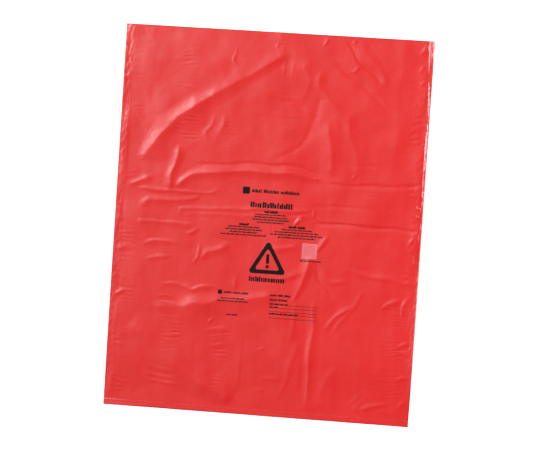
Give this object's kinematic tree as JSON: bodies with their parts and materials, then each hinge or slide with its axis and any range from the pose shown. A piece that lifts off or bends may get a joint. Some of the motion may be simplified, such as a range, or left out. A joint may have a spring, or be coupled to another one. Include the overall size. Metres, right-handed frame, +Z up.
{
  "type": "film waste bag",
  "caption": "Flat-laid red plastic-film waste bag for laboratories: a side-folded tube with a heat-sealed bottom, an open mouth that lifts, and a printed front.",
  "frame": {"origin": "centre of the bag's footprint, on the surface that it lies on", "axes": "+X to the right seen from above, +Y towards the open mouth, +Z up through the printed front wall"},
  "size_m": [0.483, 0.603, 0.0053],
  "materials": {
    "film": "translucent red film, satin gloss, finely wrinkled",
    "folded_edge": "red film creased at the fold, deeper in colour",
    "seal": "red film, heat-welded and embossed",
    "skirt": "red film, cut edge",
    "bold_ink": "black ink, solid",
    "fine_ink": "black ink, thin lines",
    "indicator": "pale pink indicator ink, see-through"
  },
  "bodies": {
    "back_wall": {"back_panel": "film", "left_side_fold": "folded_edge", "right_side_fold": "folded_edge", "bottom_seal": "seal", "skirt_back_layer": "skirt", "skirt_front_layer": "skirt"},
    "front_wall": {"front_toe": "film", "front_centre_panel": "film", "front_left_panel": "film", "front_right_panel": "film", "header_square": "bold_ink", "header_name_bar": "bold_ink", "title_bar": "bold_ink", "centre_note_heading": "bold_ink", "left_note_heading": "bold_ink", "right_note_heading": "bold_ink", "emblem_triangle": "bold_ink", "emblem_bar": "bold_ink", "emblem_dot": "bold_ink", "emblem_caption": "bold_ink", "maker_square": "bold_ink", "maker_name_bar": "bold_ink", "item_line_1": "bold_ink", "item_line_2": "bold_ink", "form_label_1": "bold_ink", "form_label_2": "bold_ink", "form_label_3": "bold_ink", "centre_note_line_1": "fine_ink", "centre_note_line_2": "fine_ink", "centre_note_line_3": "fine_ink", "centre_note_line_4": "fine_ink", "left_note_line_1": "fine_ink", "left_note_line_2": "fine_ink", "left_note_line_3": "fine_ink", "left_note_line_4": "fine_ink", "right_note_line_1": "fine_ink", "right_note_line_2": "fine_ink", "right_note_line_3": "fine_ink", "right_note_line_4": "fine_ink", "indicator_line": "fine_ink", "maker_line_1": "fine_ink", "maker_line_2": "fine_ink", "origin_line": "fine_ink", "form_rule_1": "fine_ink", "form_rule_2": "fine_ink", "form_rule_3": "fine_ink", "form_rule_4": "fine_ink", "form_rule_5": "fine_ink", "indicator_patch": "indicator"}
  },
  "joints": [
    {"name": "mouth_open", "type": "hinge", "parent": "back_wall", "child": "front_wall", "pos_m": [0, -0.2922, 0.0001], "axis": [1, 0, 0], "range_deg": [0, 10], "deforming": ["front_left_panel", "front_right_panel"]}
  ]
}
